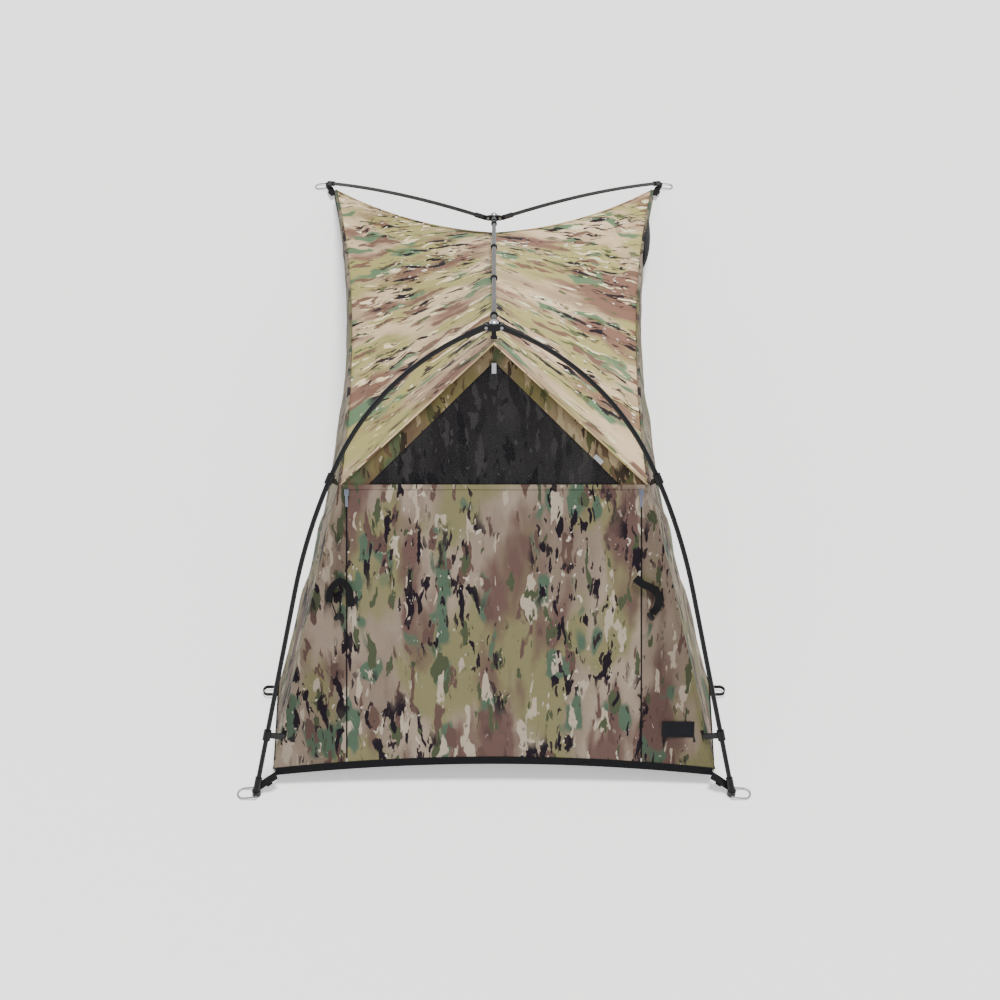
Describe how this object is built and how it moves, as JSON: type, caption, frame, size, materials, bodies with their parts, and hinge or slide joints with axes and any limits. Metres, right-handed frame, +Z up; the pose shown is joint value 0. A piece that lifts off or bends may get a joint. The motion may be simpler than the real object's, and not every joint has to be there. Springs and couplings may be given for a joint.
{
  "type": "pop-up ground blind",
  "caption": "Low camouflage ground blind on an outside pole frame, with a steep front door and mesh window, a ridge that falls to the rear, and folding side legs.",
  "frame": {"origin": "centre of the footprint on the ground", "axes": "+Z up; the door faces -Y; +X is to the right seen from the front"},
  "size_m": [1.1914, 2.475, 0.9351],
  "materials": {
    "camo": "camouflage ripstop weave",
    "hub": "satin black moulded",
    "mesh": "dark printed mesh",
    "pin_steel": "satin",
    "plastic": "black moulded",
    "pole": "black anodised",
    "ring": "zinc plated",
    "silver": "satin",
    "slider": "satin cast",
    "webbing": "black webbing"
  },
  "bodies": {
    "spine": {"front_hub": "hub", "rear_hub": "hub", "front_hub_cap": "silver", "rear_hub_cap": "pin_steel", "front_hub_pins": "pin_steel", "rear_hub_pins": "pin_steel", "apex_hook": "plastic", "ridge_pole": "pole", "ridge_clip": "plastic", "roof_left": "camo", "roof_right": "camo", "rear_panel": "camo", "door_panel": "camo", "window_surround": "camo", "window_mesh": "mesh", "front_hem": "webbing", "rear_hem": "webbing", "window_zip": "webbing"},
    "left_side": {"front_left_socket": "hub", "front_left_upper_pole": "pole", "front_left_lower_pole": "pole", "front_left_shoulder_clip": "plastic", "front_left_hem_clip": "plastic", "front_left_foot": "plastic", "front_left_corner_strap": "webbing", "rear_left_socket": "hub", "rear_left_pole": "pole", "rear_left_foot": "plastic", "rear_left_corner_strap": "webbing", "left_wall": "camo", "left_front_wing": "camo", "left_hem": "webbing", "left_door_zip": "webbing", "left_tieback": "webbing", "left_peg_loop": "webbing"},
    "right_side": {"front_right_socket": "hub", "front_right_upper_pole": "pole", "front_right_lower_pole": "pole", "front_right_shoulder_clip": "plastic", "front_right_hem_clip": "plastic", "front_right_foot": "plastic", "front_right_corner_strap": "webbing", "rear_right_socket": "hub", "rear_right_pole": "pole", "rear_right_foot": "plastic", "rear_right_corner_strap": "webbing", "right_wall": "camo", "right_front_wing": "camo", "right_hem": "webbing", "right_door_zip": "webbing", "right_tieback": "webbing", "right_peg_loop": "webbing"},
    "left_door_slider": {"left_door_slider": "slider"},
    "right_door_slider": {"right_door_slider": "slider"},
    "apex_window_slider": {"apex_window_slider": "silver"},
    "lower_window_slider": {"lower_window_slider": "silver"},
    "front_left_peg_ring": {"front_left_peg_ring": "ring"},
    "front_right_peg_ring": {"front_right_peg_ring": "ring"},
    "rear_left_peg_ring": {"rear_left_peg_ring": "ring"},
    "rear_right_peg_ring": {"rear_right_peg_ring": "ring"}
  },
  "joints": [
    {"name": "fold_left", "type": "hinge", "parent": "spine", "child": "left_side", "pos_m": [-0.017, -0.65, 0.92], "axis": [0, -0.9065, 0.4222], "range_deg": [0, 16], "deforming": ["roof_left", "rear_panel", "door_panel", "window_surround", "window_mesh", "front_hem", "rear_hem", "window_zip"]},
    {"name": "fold_right", "type": "hinge", "parent": "spine", "child": "right_side", "pos_m": [0.017, -0.65, 0.92], "axis": [0, 0.9065, -0.4222], "range_deg": [0, 16], "deforming": ["roof_right"]},
    {"name": "left_door_unzip", "type": "slide", "parent": "left_side", "child": "left_door_slider", "axis": [-0.0187, -0.5298, -0.8479], "range_m": [0, 0.6]},
    {"name": "right_door_unzip", "type": "slide", "parent": "right_side", "child": "right_door_slider", "axis": [0.0187, -0.5298, -0.8479], "range_m": [0, 0.6]},
    {"name": "apex_window_unzip", "type": "slide", "parent": "spine", "child": "apex_window_slider", "axis": [-0.7247, -0.3652, -0.5844], "range_m": [0, 0.3]},
    {"name": "lower_window_unzip", "type": "slide", "parent": "right_side", "child": "lower_window_slider", "axis": [-0.7247, 0.3652, 0.5844], "range_m": [-0.06, 0.27]},
    {"name": "front_left_ring_swing", "type": "hinge", "parent": "left_side", "child": "front_left_peg_ring", "pos_m": [-0.54805, -1.22147, 0.007], "axis": [0, 1, 0], "range_deg": [0, 75]},
    {"name": "front_right_ring_swing", "type": "hinge", "parent": "right_side", "child": "front_right_peg_ring", "pos_m": [0.54805, -1.22147, 0.007], "axis": [0, -1, 0], "range_deg": [0, 75]},
    {"name": "rear_left_ring_swing", "type": "hinge", "parent": "left_side", "child": "rear_left_peg_ring", "pos_m": [-0.55, 1.22147, 0.007], "axis": [0, 1, 0], "range_deg": [0, 75]},
    {"name": "rear_right_ring_swing", "type": "hinge", "parent": "right_side", "child": "rear_right_peg_ring", "pos_m": [0.55, 1.22147, 0.007], "axis": [0, -1, 0], "range_deg": [0, 75]}
  ],
  "couplings": [
    {"joint": "fold_right", "follows": "fold_left", "ratio": 1}
  ]
}
